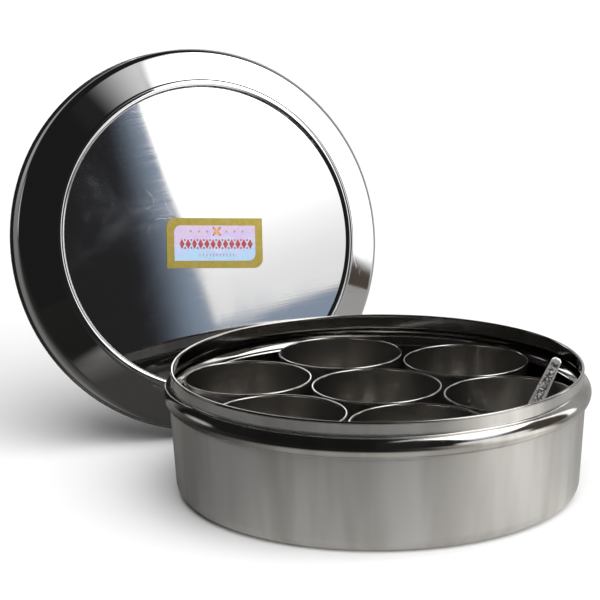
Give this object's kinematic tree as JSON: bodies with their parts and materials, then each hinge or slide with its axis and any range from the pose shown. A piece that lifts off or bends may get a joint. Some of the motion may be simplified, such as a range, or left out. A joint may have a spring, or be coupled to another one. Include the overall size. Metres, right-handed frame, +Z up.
{
  "type": "spice box masala dabba",
  "caption": "Round stainless steel spice box with a shoulder bead, loose spice bowls nested inside, a small spoon in one of them, and a domed lift-off lid stood beside it.",
  "frame": {"origin": "centre of the box's flat base, on the table", "axes": "+Z up out of the open box; -Y towards the viewer, with the lid standing behind and to the left at -X, +Y"},
  "size_m": [0.2937, 0.2734, 0.1999],
  "materials": {
    "satin_steel": "satin wall, polished neck and bead",
    "polished_steel": "mirror polished stainless steel with fine brush lines",
    "bowl_steel": "polished stainless steel",
    "spoon_steel": "bright pressed stainless steel",
    "label_foil": "glossy gold and holographic foil"
  },
  "bodies": {
    "box": {"box": "satin_steel"},
    "lid": {"lid": "polished_steel", "label": "label_foil"},
    "spoon": {"spoon": "spoon_steel"},
    "bowl_centre": {"bowl_centre": "bowl_steel"},
    "bowl_right": {"bowl_right": "bowl_steel"},
    "bowl_back_right": {"bowl_back_right": "bowl_steel"},
    "bowl_back_left": {"bowl_back_left": "bowl_steel"},
    "bowl_left": {"bowl_left": "bowl_steel"},
    "bowl_front_left": {"bowl_front_left": "bowl_steel"},
    "bowl_front_right": {"bowl_front_right": "bowl_steel"}
  },
  "joints": [
    {"name": "lid_lift", "type": "slide", "parent": "box", "child": "lid", "axis": [0, 0, 1], "range_m": [0, 0.08]},
    {"name": "bowl_centre_lift", "type": "slide", "parent": "box", "child": "bowl_centre", "axis": [0, 0, 1], "range_m": [0, 0.07]},
    {"name": "bowl_right_lift", "type": "slide", "parent": "box", "child": "bowl_right", "axis": [0, 0, 1], "range_m": [0, 0.07]},
    {"name": "bowl_back_right_lift", "type": "slide", "parent": "box", "child": "bowl_back_right", "axis": [0, 0, 1], "range_m": [0, 0.07]},
    {"name": "bowl_back_left_lift", "type": "slide", "parent": "box", "child": "bowl_back_left", "axis": [0, 0, 1], "range_m": [0, 0.07]},
    {"name": "bowl_left_lift", "type": "slide", "parent": "box", "child": "bowl_left", "axis": [0, 0, 1], "range_m": [0, 0.07]},
    {"name": "bowl_front_left_lift", "type": "slide", "parent": "box", "child": "bowl_front_left", "axis": [0, 0, 1], "range_m": [0, 0.07]},
    {"name": "bowl_front_right_lift", "type": "slide", "parent": "box", "child": "bowl_front_right", "axis": [0, 0, 1], "range_m": [0, 0.07]},
    {"name": "spoon_lift", "type": "slide", "parent": "bowl_right", "child": "spoon", "axis": [0, 0, 1], "range_m": [0, 0.06]}
  ]
}
